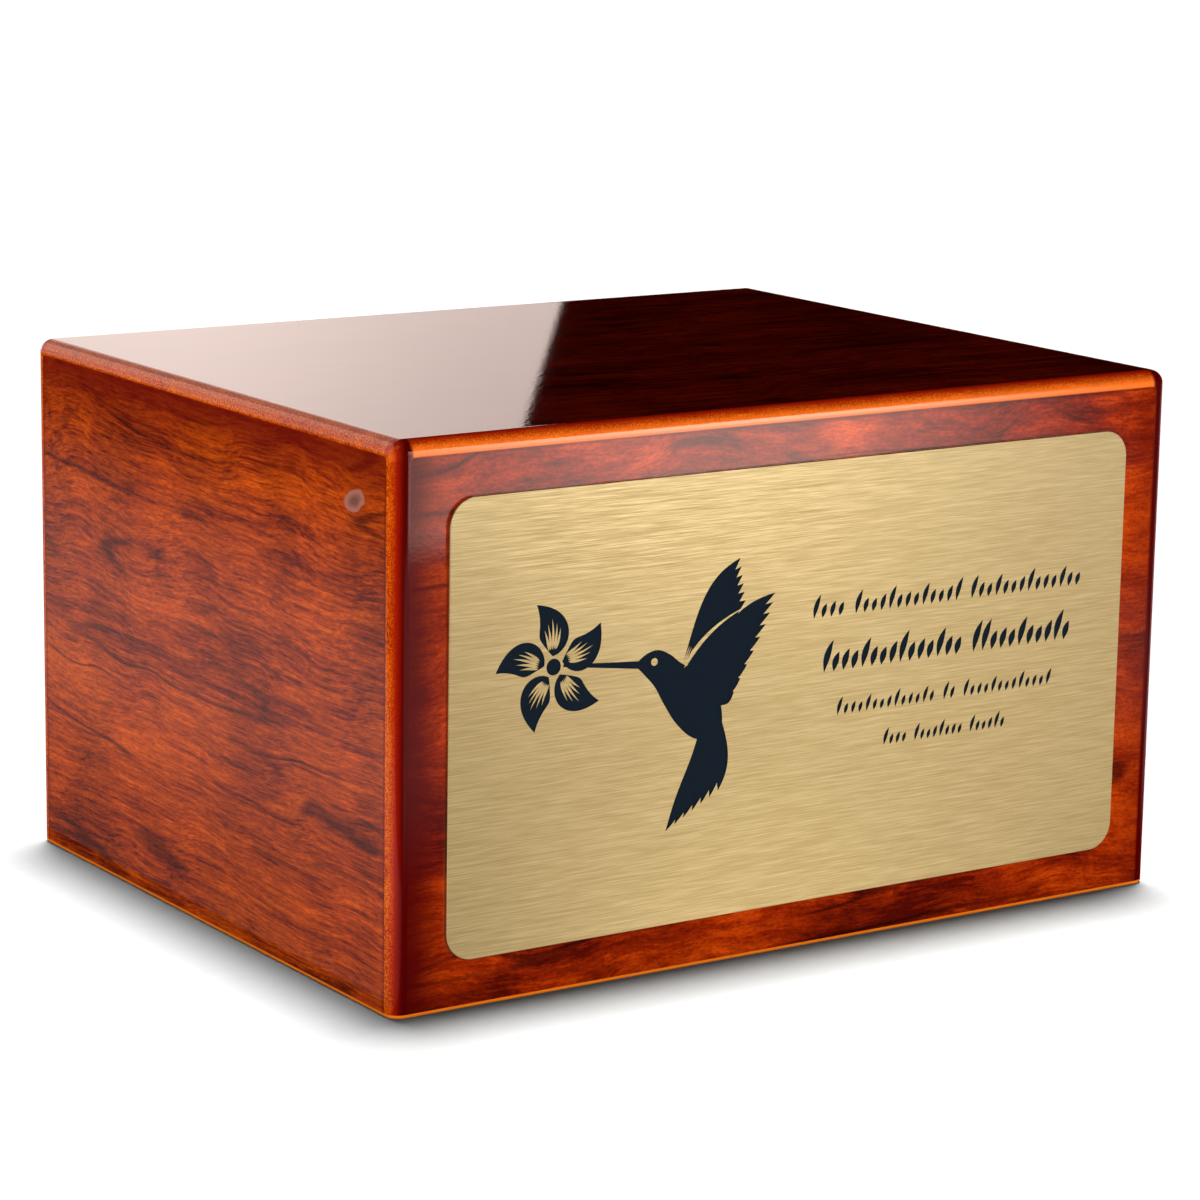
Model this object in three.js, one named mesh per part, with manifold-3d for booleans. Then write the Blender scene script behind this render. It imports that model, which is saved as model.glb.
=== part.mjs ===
// Cremation urn box: a mitred, veneered box with rounded edges, a screwed base panel
// and an engraved nameplate on its front.
// Millimetres. +X along the front to the right, +Y from front to back, +Z up.
// The origin is the bottom centre of the whole object, plate included.

import * as THREE from 'three';
import { mergeVertices } from 'three/addons/utils/BufferGeometryUtils.js';
import Module from 'manifold-3d';

// Box
const WIDTH = 230;
const DEPTH = 184;
const HEIGHT = 136;
const WALL = 15;
const EDGE_RADIUS = 3.5;
const EDGE_STEPS = 4;
const FOOT_CHAMFER = 0.75;

// Base panel, let into a rabbet in the lower edge of the walls
const BASE_THICKNESS = 9;
const RABBET_LIP = 4;
const BASE_CLEARANCE = 0.5;
const BASE_LENGTH = WIDTH - 2 * (RABBET_LIP + BASE_CLEARANCE);
const BASE_WIDTH = DEPTH - 2 * (RABBET_LIP + BASE_CLEARANCE);

// Base screws, through the panel into the front and back walls
const SCREW = {
  length: 25,
  headRadius: 3.4,
  headHeight: 2.2,
  shankRadius: 1.75,
  tipHeight: 3,
  sunk: 0.3,
  sides: 16,
};
const SCREW_HOLE_FIT = 0.3;
const SCREW_HOLE_MOUTH = -1;
const SCREW_X = 80;
const SCREW_INSET = 5;
const SCREW_Y = BASE_WIDTH / 2 - SCREW_INSET;
const CROSS_SLOT = { length: 3.6, width: 0.9, depth: 1.4 };

// Nameplate, glued flat to the front wall
const PLATE_WIDTH = 202;
const PLATE_HEIGHT = 110;
const PLATE_THICKNESS = 1;
const PLATE_RADIUS = 7;
const PLATE_CENTRE_Z = 67;
const PLATE_CORNER_STEPS = 6;
const ENGRAVING_DEPTH = 0.2;

// The box sits half a plate thickness back, so that the whole object is centred
const BOX_SHIFT_Y = PLATE_THICKNESS / 2;

// The engraving is drawn on the plate's face: x to the right, y up, from its centre.
// A hovering bird:
const BIRD_BODY = [
  [-49, 10.4], [-46.5, 12.6], [-43, 13.4], [-39.5, 12], [-36, 9.4], [-30, 6], [-25.5, 1],
  [-23.8, -5], [-24.6, -10.5], [-28, -10.6], [-33, -9], [-37.5, -5], [-41, 0],
  [-43.8, 4.6], [-47.2, 8.2],
];
const BIRD_BODY_STEPS = 45;
const WING_SHOULDER = [
  [-34.8, 6.4], [-32.8, 11], [-29, 14.4], [-24.4, 16.2], [-21, 11.4], [-22.4, 3.6],
  [-26, -1.6], [-31, 1.5],
];
const WING_SHOULDER_STEPS = 24;
const BEAK = [[-47.5, 11.2], [-69.6, 12.9], [-69.8, 12.3], [-47.5, 9.3]];
const BIRD_EYE = { centre: [-43.9, 10.6], radius: 0.95, sides: 8 };
const FEATHER = { steps: 7, fullness: 1.7 };
const FAR_WING = {
  roots: [[-35.6, 9.4], [-33.8, 8.6]],
  tips: [[-19.4, 33.4], [-17.6, 22.8]],
  count: 6,
  halfWidth: 2.1,
  bow: 0.13,
  swell: 0,
};
const NEAR_WING = {
  roots: [[-34.2, 5.2], [-27.6, -3.2]],
  tips: [[-8.8, 23.8], [-20.5, 0.6]],
  count: 9,
  halfWidth: 1.9,
  bow: 0.1,
  swell: 0.1,
};
const TAIL = {
  roots: [[-29.6, -2], [-25.8, -1]],
  tips: [[-39.8, -31.6], [-24.6, -23.4]],
  count: 7,
  halfWidth: 1.8,
  bow: 0.14,
  swell: 0,
};
const WING_PARTING = {
  from: [-35.2, 8.2],
  bend: [-29.5, 17.5],
  to: [-16.5, 21.6],
  halfWidth: 0.55,
  steps: 7,
  fullness: 0.5,
};

// A flower with five veined petals:
const FLOWER = { centre: [-72.4, 12.6], petals: 5, firstPetal: 0.42 };
const FLOWER_EYE = { centre: FLOWER.centre, radius: 2, sides: 14 };
const PETAL = {
  start: 2.6,
  bend: 10,
  bendTurn: -0.3,
  end: 16,
  endTurn: 0.2,
  halfWidth: 4.1,
  steps: 9,
  fullness: 0.78,
};
const VEIN = {
  places: [-2, -1, 0, 1, 2],
  start: 4.2,
  end: 11.6,
  shortening: 1.1,
  rootTurn: 0.11,
  tipTurn: 0.12,
  lead: -0.06,
  bow: -0.08,
  halfWidth: 0.34,
  steps: 4,
  fullness: 0.6,
};

// Four rows of leaning strokes that stand for an inscription. They are no letters.
const ROWS = [
  { left: 3, right: 86, base: 16, tall: 5.9, words: [4, 13, 14] },
  { left: 6.5, right: 82.5, base: 2.2, tall: 8, words: [15, 11] },
  { left: 11, right: 77.5, base: -9, tall: 4.6, words: [14, 2, 13] },
  { left: 25.7, right: 63, base: -18.4, tall: 4.4, words: [4, 8, 6] },
];
const STROKE = { lean: 0.34, bow: 0.12, halfWidth: 0.12, steps: 4, fullness: 1 };
const STROKE_HEIGHTS = [1, 0.6, 0.66, 0.58, 0.92, 0.62, 0.56, 0.7];
const WORD_GAP = 0.9;

const COLOURS = {
  veneer: { color: 0x7d2614, roughness: 0.12, metalness: 0 },
  base: { color: 0x6b3220, roughness: 0.6, metalness: 0 },
  plate: { color: 0xc9b07a, roughness: 0.35, metalness: 1 },
  steel: { color: 0x9a9a96, roughness: 0.4, metalness: 1 },
};

const QUARTER = Math.PI / 2;

const wasm = await Module();
wasm.setup();

// Solids

function toSolid(geometry) {
  const bare = geometry.clone();
  bare.deleteAttribute('normal');
  bare.deleteAttribute('uv');
  const merged = mergeVertices(bare, 1e-4);
  const mesh = new wasm.Mesh({
    numProp: 3,
    vertProperties: new Float32Array(merged.attributes.position.array),
    triVerts: new Uint32Array(merged.index.array),
  });
  return new wasm.Manifold(mesh);
}

function toGeometry(solid) {
  const mesh = solid.getMesh();
  const geometry = new THREE.BufferGeometry();
  geometry.setAttribute('position', new THREE.BufferAttribute(mesh.vertProperties, 3));
  geometry.setIndex(new THREE.BufferAttribute(mesh.triVerts, 1));
  geometry.computeVertexNormals();
  return geometry;
}

function addAll(solids) {
  return solids.reduce((joined, solid) => joined.add(solid));
}

function prism(shape, length) {
  return new THREE.ExtrudeGeometry(shape, { depth: length, bevelEnabled: false });
}

function namedMesh(name, geometry, finish) {
  const mesh = new THREE.Mesh(geometry, new THREE.MeshStandardMaterial(finish));
  mesh.name = name;
  return mesh;
}

// Points on a quarter circle, or the two ends of a chamfer when steps is 1.
function cornerArc(centreX, centreY, radius, start, steps) {
  return Array.from({ length: steps + 1 }, (_, step) => {
    const angle = start + QUARTER * (step / steps);
    return new THREE.Vector2(
      centreX + radius * Math.cos(angle),
      centreY + radius * Math.sin(angle),
    );
  });
}

// A rectangle centred on the origin. The lower two corners can differ from the upper two.
function softRectangle(width, height, upper, lower = upper) {
  const corners = [
    { sideX: 1, sideY: -1, start: -QUARTER, ...lower },
    { sideX: 1, sideY: 1, start: 0, ...upper },
    { sideX: -1, sideY: 1, start: QUARTER, ...upper },
    { sideX: -1, sideY: -1, start: 2 * QUARTER, ...lower },
  ];
  return new THREE.Shape(corners.flatMap(({ sideX, sideY, start, size, steps }) => (
    cornerArc(sideX * (width / 2 - size), sideY * (height / 2 - size), size, start, steps)
  )));
}

// Box

// The outside of the box: every upright and upper edge rounded, the foot chamfered.
function outerForm() {
  const rounded = { size: EDGE_RADIUS, steps: EDGE_STEPS };
  const chamfered = { size: FOOT_CHAMFER, steps: 1 };
  const plan = prism(softRectangle(WIDTH, DEPTH, rounded), HEIGHT);
  const front = prism(softRectangle(WIDTH, HEIGHT, rounded, chamfered), DEPTH)
    .rotateX(QUARTER)
    .translate(0, DEPTH / 2, HEIGHT / 2);
  const side = prism(softRectangle(DEPTH, HEIGHT, rounded, chamfered), WIDTH)
    .rotateX(QUARTER)
    .rotateZ(QUARTER)
    .translate(-WIDTH / 2, 0, HEIGHT / 2);
  return toSolid(plan).intersect(toSolid(front)).intersect(toSolid(side));
}

// Turning a board leaves rounding errors, so its corners go back on a grid of
// eighths of a millimetre. Neighbouring mitres then meet face to face.
function onGrid(geometry) {
  const eighths = 8;
  const { array } = geometry.attributes.position;
  array.forEach((value, index) => {
    array[index] = Math.round(value * eighths) / eighths;
  });
  return geometry;
}

// A board lying flat, outer face up. Its mitred edges run in at 45 degrees below that
// face. A wall's lower edge, at -y, stays square.
function mitredBoard(width, height, isWall) {
  const board = new THREE.BoxGeometry(width, height, WALL);
  const { position } = board.attributes;
  for (let i = 0; i < position.count; i += 1) {
    const x = position.getX(i);
    const y = position.getY(i);
    if (position.getZ(i) < 0) {
      position.setX(i, x - Math.sign(x) * WALL);
      position.setY(i, isWall && y < 0 ? y : y - Math.sign(y) * WALL);
    }
  }
  return board.translate(0, 0, -WALL / 2);
}

function topBoard() {
  return mitredBoard(WIDTH, DEPTH, false).translate(0, 0, HEIGHT);
}

// A wall facing -Y at the given distance from the centre, then turned about Z.
function wallBoard(width, distance, turn) {
  return mitredBoard(width, HEIGHT, true)
    .rotateX(QUARTER)
    .translate(0, -distance, HEIGHT / 2)
    .rotateZ(turn);
}

// The room that the rabbet leaves for the base panel, open below.
function basePocket() {
  return new THREE.BoxGeometry(
    WIDTH - 2 * RABBET_LIP,
    DEPTH - 2 * RABBET_LIP,
    2 * BASE_THICKNESS,
  );
}

// Base screws

const SCREW_PLACES = [
  { name: 'base_screw_front_left', x: -SCREW_X, y: -SCREW_Y },
  { name: 'base_screw_front_right', x: SCREW_X, y: -SCREW_Y },
  { name: 'base_screw_back_left', x: -SCREW_X, y: SCREW_Y },
  { name: 'base_screw_back_right', x: SCREW_X, y: SCREW_Y },
];

function turned(outline) {
  const points = outline.map(([radius, height]) => new THREE.Vector2(radius, height));
  return new THREE.LatheGeometry(points, SCREW.sides).rotateX(QUARTER);
}

function crossSlot() {
  const { length, width, depth } = CROSS_SLOT;
  const along = new THREE.BoxGeometry(length, width, 2 * depth).translate(0, 0, SCREW.sunk);
  const across = new THREE.BoxGeometry(width, length, 2 * depth).translate(0, 0, SCREW.sunk);
  return toSolid(along).add(toSolid(across));
}

function screw() {
  const blank = turned([
    [0, SCREW.sunk],
    [SCREW.headRadius, SCREW.sunk],
    [SCREW.shankRadius, SCREW.sunk + SCREW.headHeight],
    [SCREW.shankRadius, SCREW.length - SCREW.tipHeight],
    [0, SCREW.length],
  ]);
  return toGeometry(toSolid(blank).subtract(crossSlot()));
}

function screwHole({ x, y }) {
  const head = SCREW.headRadius + SCREW_HOLE_FIT;
  const shank = SCREW.shankRadius + SCREW_HOLE_FIT;
  const hole = turned([
    [0, SCREW_HOLE_MOUTH],
    [head, SCREW_HOLE_MOUTH],
    [head, SCREW.sunk + SCREW_HOLE_FIT],
    [shank, SCREW.sunk + SCREW.headHeight + SCREW_HOLE_FIT],
    [shank, SCREW.length - SCREW.tipHeight + SCREW_HOLE_FIT],
    [0, SCREW.length + SCREW_HOLE_FIT],
  ]);
  return toSolid(hole.translate(x, y, 0));
}

// Engraving outlines

function polar(centre, radius, angle) {
  return [centre[0] + radius * Math.cos(angle), centre[1] + radius * Math.sin(angle)];
}

function mix(from, to, share) {
  return from.map((value, axis) => THREE.MathUtils.lerp(value, to[axis], share));
}

// The middle between two points, moved sideways by a share of their distance.
function between(from, to, bow) {
  const [x, y] = mix(from, to, 0.5);
  return [x - (to[1] - from[1]) * bow, y + (to[0] - from[0]) * bow];
}

// A closed outline along a bent centre line. Its half width swells and closes again,
// later along the line the greater the fullness is.
function blade(from, bend, to, { halfWidth, steps, fullness }) {
  const line = new THREE.QuadraticBezierCurve(
    new THREE.Vector2(...from),
    new THREE.Vector2(...bend),
    new THREE.Vector2(...to),
  );
  const leftSide = [];
  const rightSide = [];
  for (let step = 1; step < steps; step += 1) {
    const share = step / steps;
    const point = line.getPoint(share);
    const heading = line.getTangent(share);
    const half = halfWidth * Math.sin(Math.PI * share ** fullness);
    leftSide.unshift(new THREE.Vector2(point.x - heading.y * half, point.y + heading.x * half));
    rightSide.push(new THREE.Vector2(point.x + heading.y * half, point.y - heading.x * half));
  }
  return new THREE.Shape([line.getPoint(0), ...rightSide, line.getPoint(1), ...leftSide]);
}

function disc({ centre, radius, sides }) {
  return new THREE.Shape(Array.from({ length: sides }, (_, side) => (
    new THREE.Vector2(...polar(centre, radius, (2 * Math.PI * side) / sides))
  )));
}

function smoothOutline(points, steps) {
  const corners = points.map(([x, y]) => new THREE.Vector3(x, y, 0));
  const curve = new THREE.CatmullRomCurve3(corners, true, 'catmullrom', 0.5);
  return new THREE.Shape(curve.getPoints(steps).slice(0, -1));
}

// Feathers that fan out from a line of roots to a line of tips.
function fan({ roots, tips, count, halfWidth, bow, swell }) {
  return Array.from({ length: count }, (_, index) => {
    const share = index / (count - 1);
    const root = mix(...roots, share);
    const tip = mix(root, mix(...tips, share), 1 + swell * Math.sin(Math.PI * share));
    return blade(root, between(root, tip, bow), tip, { halfWidth, ...FEATHER });
  });
}

function petal(angle) {
  return blade(
    polar(FLOWER.centre, PETAL.start, angle),
    polar(FLOWER.centre, PETAL.bend, angle + PETAL.bendTurn),
    polar(FLOWER.centre, PETAL.end, angle + PETAL.endTurn),
    PETAL,
  );
}

function petalVeins(angle) {
  return VEIN.places.map((place) => {
    const reach = VEIN.end - VEIN.shortening * Math.abs(place);
    const root = polar(FLOWER.centre, VEIN.start, angle + place * VEIN.rootTurn);
    const tip = polar(FLOWER.centre, reach, angle + VEIN.lead + place * VEIN.tipTurn);
    return blade(root, between(root, tip, VEIN.bow), tip, VEIN);
  });
}

function leaningStroke(x, base, height, tall) {
  const foot = [x, base];
  const head = [x + height * STROKE.lean, base + height];
  const halfWidth = tall * STROKE.halfWidth;
  return blade(foot, between(foot, head, STROKE.bow), head, { ...STROKE, halfWidth });
}

// Each word starts with a tall stroke, and the rest take their heights in turn.
function strokeRow({ left, right, base, tall, words }) {
  const strokes = words.reduce((sum, word) => sum + word, 0);
  const pitch = (right - left) / (strokes - 1 + WORD_GAP * (words.length - 1));
  const shapes = [];
  let x = left;
  words.forEach((word) => {
    for (let index = 0; index < word; index += 1) {
      const turn = index === 0 ? 0 : shapes.length % STROKE_HEIGHTS.length;
      shapes.push(leaningStroke(x, base, tall * STROKE_HEIGHTS[turn], tall));
      x += pitch;
    }
    x += pitch * WORD_GAP;
  });
  return shapes;
}

// Nameplate

// Cutters reach from the floor of the engraving to well clear of the plate's face.
function cutters(shapes) {
  const floor = PLATE_THICKNESS - ENGRAVING_DEPTH;
  return addAll(shapes.map((shape) => (
    toSolid(prism(shape, PLATE_THICKNESS).translate(0, 0, floor))
  )));
}

function engraving() {
  const petalAngles = Array.from({ length: FLOWER.petals }, (_, index) => (
    FLOWER.firstPetal + (2 * Math.PI * index) / FLOWER.petals
  ));
  const picture = cutters([
    smoothOutline(BIRD_BODY, BIRD_BODY_STEPS),
    smoothOutline(WING_SHOULDER, WING_SHOULDER_STEPS),
    new THREE.Shape(BEAK.map(([x, y]) => new THREE.Vector2(x, y))),
    ...fan(FAR_WING),
    ...fan(NEAR_WING),
    ...fan(TAIL),
    ...petalAngles.map(petal),
    disc(FLOWER_EYE),
  ]);
  const leftStanding = cutters([
    disc(BIRD_EYE),
    blade(WING_PARTING.from, WING_PARTING.bend, WING_PARTING.to, WING_PARTING),
    ...petalAngles.flatMap(petalVeins),
  ]);
  return picture.subtract(leftStanding).add(cutters(ROWS.flatMap(strokeRow)));
}

function nameplate() {
  const corner = { size: PLATE_RADIUS, steps: PLATE_CORNER_STEPS };
  const plate = prism(softRectangle(PLATE_WIDTH, PLATE_HEIGHT, corner), PLATE_THICKNESS);
  return toGeometry(toSolid(plate).subtract(engraving()))
    .rotateX(QUARTER)
    .translate(0, -DEPTH / 2, PLATE_CENTRE_Z);
}

// Assembly

const outside = outerForm();
const pocket = toSolid(basePocket());
const screwHoles = addAll(SCREW_PLACES.map(screwHole));

function finishedBoard(board) {
  const blank = toSolid(onGrid(board));
  return toGeometry(blank.intersect(outside).subtract(pocket).subtract(screwHoles));
}

function basePanel() {
  const panel = new THREE.BoxGeometry(BASE_LENGTH, BASE_WIDTH, BASE_THICKNESS);
  panel.translate(0, 0, BASE_THICKNESS / 2);
  return toGeometry(toSolid(panel).subtract(screwHoles));
}

const BOARDS = {
  top_panel: topBoard(),
  front_wall: wallBoard(WIDTH, DEPTH / 2, 0),
  right_wall: wallBoard(DEPTH, WIDTH / 2, QUARTER),
  back_wall: wallBoard(WIDTH, DEPTH / 2, 2 * QUARTER),
  left_wall: wallBoard(DEPTH, WIDTH / 2, -QUARTER),
};

const urn = new THREE.Group();
urn.position.y = BOX_SHIFT_Y;

Object.entries(BOARDS).forEach(([name, board]) => {
  urn.add(namedMesh(name, finishedBoard(board), COLOURS.veneer));
});
urn.add(namedMesh('base_panel', basePanel(), COLOURS.base));
urn.add(namedMesh('nameplate', nameplate(), COLOURS.plate));
SCREW_PLACES.forEach(({ name, x, y }) => {
  const mesh = namedMesh(name, screw(), COLOURS.steel);
  mesh.position.set(x, y, 0);
  urn.add(mesh);
});

export default urn;
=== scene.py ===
"""A cremation urn box: mitred boards under gloss lacquer, with rounded and stained edges,
a screwed base panel, and an engraved nameplate of brushed metal on the front."""

import math

import bmesh
import bpy
from mathutils import Matrix, Vector
from mathutils.geometry import delaunay_2d_cdt


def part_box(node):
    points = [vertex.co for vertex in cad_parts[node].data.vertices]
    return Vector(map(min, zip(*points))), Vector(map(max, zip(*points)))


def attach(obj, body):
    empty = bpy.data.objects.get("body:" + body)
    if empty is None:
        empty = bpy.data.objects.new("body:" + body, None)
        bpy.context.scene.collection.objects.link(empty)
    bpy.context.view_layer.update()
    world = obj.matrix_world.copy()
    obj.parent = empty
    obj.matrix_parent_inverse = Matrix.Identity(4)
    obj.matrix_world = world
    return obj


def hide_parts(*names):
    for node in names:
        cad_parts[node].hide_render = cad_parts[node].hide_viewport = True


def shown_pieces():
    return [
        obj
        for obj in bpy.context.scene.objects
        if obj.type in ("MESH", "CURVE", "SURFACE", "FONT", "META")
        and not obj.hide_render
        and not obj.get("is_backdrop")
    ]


MM = 0.001

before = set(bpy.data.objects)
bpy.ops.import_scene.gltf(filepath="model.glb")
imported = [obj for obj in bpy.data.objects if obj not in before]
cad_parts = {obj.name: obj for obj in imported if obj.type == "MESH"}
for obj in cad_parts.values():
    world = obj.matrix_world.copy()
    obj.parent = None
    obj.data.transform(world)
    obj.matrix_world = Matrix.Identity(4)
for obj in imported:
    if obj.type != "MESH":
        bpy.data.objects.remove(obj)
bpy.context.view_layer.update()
scene = bpy.context.scene


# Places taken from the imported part

LEFT_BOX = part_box("left_wall")
BASE_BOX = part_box("base_panel")
PLATE_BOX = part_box("nameplate")
BOX_LOW = Vector((LEFT_BOX[0].x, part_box("front_wall")[0].y, LEFT_BOX[0].z))
BOX_HIGH = Vector((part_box("right_wall")[1].x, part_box("back_wall")[1].y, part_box("top_panel")[1].z))
BOX_CENTRE = (BOX_LOW + BOX_HIGH) / 2
BOX_HALF = (BOX_HIGH - BOX_LOW) / 2
WALL = LEFT_BOX[1].x - LEFT_BOX[0].x

EDGE_RADIUS = 3.5 * MM
EDGE_STEPS = 9
FOOT_CHAMFER = 0.75 * MM
FOOT_STEPS = 2
BASE_CLEARANCE = 0.5 * MM
SCREW_HOLE_FIT = 0.3 * MM
SCREW_HOLE_SIDES = 24
SHARP_ANGLE = math.radians(25)


# Colours, given as they look on a screen, from 0 to 255

def colour(red, green, blue):
    def linear(value):
        share = value / 255
        return share / 12.92 if share <= 0.04045 else ((share + 0.055) / 1.055) ** 2.4
    return (linear(red), linear(green), linear(blue), 1)


# Camera. Its place, turn and lens were solved from the box's own edges in the photograph.

CAMERA_PLACE = Vector((-0.56694, -0.84969, 0.28729))
CAMERA_RIGHT = Vector((0.8326, -0.5537, 0.0159))
CAMERA_UP = Vector((0.1018, 0.1812, 0.9782))
CAMERA_FORWARD = Vector((0.5445, 0.8128, -0.2072))
CAMERA_SENSOR = 36
CAMERA_LENS = 119.48


def make_camera():
    data = bpy.data.cameras.new("camera")
    data.sensor_width = CAMERA_SENSOR
    data.lens = CAMERA_LENS
    camera = bpy.data.objects.new("camera", data)
    scene.collection.objects.link(camera)
    turn = Matrix((CAMERA_RIGHT, CAMERA_UP, -CAMERA_FORWARD)).transposed().to_4x4()
    camera.matrix_world = Matrix.Translation(CAMERA_PLACE) @ turn
    scene.camera = camera


# Node graphs

class Graph:
    """Adds nodes to a node tree. An input takes another node's output or a plain value."""

    def __init__(self, tree):
        self.tree = tree

    def feed(self, socket, value):
        if isinstance(value, bpy.types.NodeSocket):
            self.tree.links.new(value, socket)
        else:
            socket.default_value = value

    def add(self, kind, inputs=None, **settings):
        node = self.tree.nodes.new("ShaderNode" + kind)
        for name, value in settings.items():
            setattr(node, name, value)
        for name, value in (inputs or {}).items():
            self.feed(node.inputs[name], value)
        return node

    def math(self, operation, *values):
        node = self.add("Math", operation=operation)
        for socket, value in zip(node.inputs, values):
            self.feed(socket, value)
        return node.outputs[0]

    def vector(self, operation, *values):
        node = self.add("VectorMath", operation=operation)
        for socket, value in zip(node.inputs, values):
            self.feed(socket, value)
        return node.outputs[0]

    def part(self, vector, axis):
        return self.add("SeparateXYZ", {"Vector": vector}).outputs[axis]

    def triple(self, value):
        return self.add("CombineXYZ", {"X": value, "Y": value, "Z": value}).outputs[0]

    def noise(self, place, size, seed, detail=2.0, roughness=0.5):
        """Noise from 0 to 1 whose features are about size long in x, y and z, in millimetres."""
        mapping = self.add("Mapping", {
            "Vector": place,
            "Scale": [1 / (length * MM) for length in size],
            "Location": (seed * 7.31, seed * 3.77, seed * 5.19),
        })
        return self.add("TexNoise", {
            "Vector": mapping.outputs[0],
            "Scale": 1.0,
            "Detail": detail,
            "Roughness": roughness,
        }).outputs["Fac"]

    def round_noise(self, place, size, seed, **settings):
        """Noise whose features are as long in x as in y and z."""
        return self.noise(place, (size, size, size), seed, **settings)

    def mingle(self, first, second, share):
        """The mean of two values, in which the second has the given share."""
        return self.math("MULTIPLY_ADD", second, share, self.math("MULTIPLY", first, 1 - share))

    def span(self, value, low, high, to_low=0.0, to_high=1.0, smooth=True):
        """Takes the range low to high to the range to_low to to_high, held at both ends."""
        kind = "SMOOTHSTEP" if smooth else "LINEAR"
        return self.add("MapRange", {
            "Value": value,
            "From Min": low,
            "From Max": high,
            "To Min": to_low,
            "To Max": to_high,
        }, interpolation_type=kind).outputs[0]

    def ramp(self, value, *stops):
        node = self.add("ValToRGB", {"Fac": value})
        elements = node.color_ramp.elements
        while len(elements) < len(stops):
            elements.new(1)
        for element, (place, shade) in zip(elements, stops):
            element.position = place
            element.color = shade
        return node.outputs["Color"]

    def blend(self, share, below, above):
        node = self.add("Mix", data_type="RGBA")
        for socket, value in zip((node.inputs[0], node.inputs[6], node.inputs[7]),
                                 (share, below, above)):
            self.feed(socket, value)
        return node.outputs[2]

    def bump(self, height, strength, distance):
        """A normal from a height, whose distance is in millimetres."""
        return self.add("Bump", {
            "Height": height, "Strength": strength, "Distance": distance * MM,
        }).outputs[0]


def material(name):
    """A new material, its graph and its principled shader."""
    made = bpy.data.materials.new(name)
    made.use_nodes = True
    graph = Graph(made.node_tree)
    return made, graph, made.node_tree.nodes["Principled BSDF"]


def object_place(graph):
    """Places in the row frame, because every object here has its origin at the frame's."""
    return graph.add("TexCoord").outputs["Object"]


# Veneered board. A span is given as from, to, and what it gives at both ends.

BAND = 4.0 * MM
BAND_ROUNDING = 2.2 * MM
BAND_SOFTNESS = 0.12 * MM
BAND_SPAN = (BAND - 3 * BAND_SOFTNESS, BAND + BAND_SOFTNESS, 1, 0)
BAND_SEED = 11
BAND_SHADES = ((0.36, colour(132, 36, 2)), (0.5, colour(192, 71, 3)), (0.64, colour(230, 108, 20)))
SPECK_SIZE = 0.42
CLOUD_SIZE = 9
CLOUD_SHARE = 0.25

FOOT_LINE = 0.95 * MM
FOOT_SPAN = (FOOT_LINE, FOOT_LINE + BAND_SOFTNESS, 1, 0)
FOOT_SHADE = colour(240, 122, 24)

THIN_DARKENING = 1.2 * MM
THIN_DARKENING_SHARE = 0.65
SIDE_DARKENING = 14 * MM
SIDE_DARKENING_SHARE = 0.8
FRONT_DARKENING = 16 * MM
FRONT_DARKENING_SHARES = {"left": 0.95, "right": 0.4}

# Painted light where an edge turns from one face to another: a painted highlight on the lower side of
# the front band, and painted shade where the front band turns up to the top and where an upright band
# turns to the front. Each turn's span is in how far a point is from the first face, less how far it is
# from the second.
PAINTED_TURN_DEPTH = 0.95
PAINTED_TURN_LIGHT = (
    ("top", "front", (-0.4 * MM, 3.2 * MM), colour(240, 112, 34)),
    ("front", "top", (-1.2 * MM, 2.6 * MM), colour(160, 20, 4)),
    ("side", "front", (-3.2 * MM, 0.4 * MM), colour(140, 14, 3)),
    ("side", "front", (-0.8 * MM, 2.8 * MM), colour(66, 1, 2)),
)

RIPPLE_SIZE = 1.1
RIPPLE_SEED = 13
RIPPLE_SHARE = 0.5

NAIL_HOLE = {
    "y": -73.3 * MM, "z": 119.7 * MM, "length": 9.2 * MM, "height": 5.4 * MM, "tilt": 0.25,
    "ragged": 0.4, "ragged_size": 1.6,
}
FILLER_SHADES = ((0.3, colour(112, 74, 66)), (0.75, colour(160, 106, 92)))
FILLER_SPAN = (0.92, 1.06, 0.9, 0)

SIDE_SHADES = {
    "dark": colour(96, 26, 14),
    "mid": colour(152, 54, 15),
    "light": colour(198, 80, 12),
    "line": colour(62, 14, 12),
    "darkened": colour(100, 10, 8),
}
FRONT_SHADES = {
    "dark": colour(80, 12, 5),
    "mid": colour(138, 34, 4),
    "light": colour(198, 68, 8),
    "line": colour(44, 8, 6),
    "darkened": colour(72, 4, 4),
}
# The top's veneer is painted far darker than the front's: painted shade for a top that gets little
# light
TOP_SHADES_PAINTED_DARK = {
    "dark": colour(50, 3, 2),
    "mid": colour(90, 10, 3),
    "light": colour(132, 28, 5),
    "line": colour(26, 2, 2),
}

# Sizes of each kind of figure, along and across the grain, in millimetres
STRAIGHT_GRAIN = {
    "sway": (74, 60), "reach": 16, "figure": (130, 14), "patches": (50, 26), "streaks": (40, 1.2),
    "fibres": (9, 0.45), "lines": (300, 30), "gaps": (64, 9), "marks": (16, 2), "shimmer": (18, 70),
    "pores": (2.4, 0.4),
    "shares": {"figure": 0.2, "patches": 0.2, "streaks": 0.34, "fibres": 0.26},
}
SWIRLED_GRAIN = {
    "sway": (60, 50), "reach": 24, "figure": (80, 26), "patches": (40, 26), "streaks": (34, 3),
    "fibres": (7, 0.7), "lines": (320, 26), "gaps": (46, 18), "marks": (18, 5), "shimmer": (24, 60),
    "pores": (1.2, 0.5),
    "shares": {"figure": 0.28, "patches": 0.32, "streaks": 0.22, "fibres": 0.18},
}
LINES_PER_FEATURE = 7
LAYER_DETAIL = {"detail": 4, "roughness": 0.62}
TONE_STOPS = {"dark": 0.42, "mid": 0.5, "light": 0.6}
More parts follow.
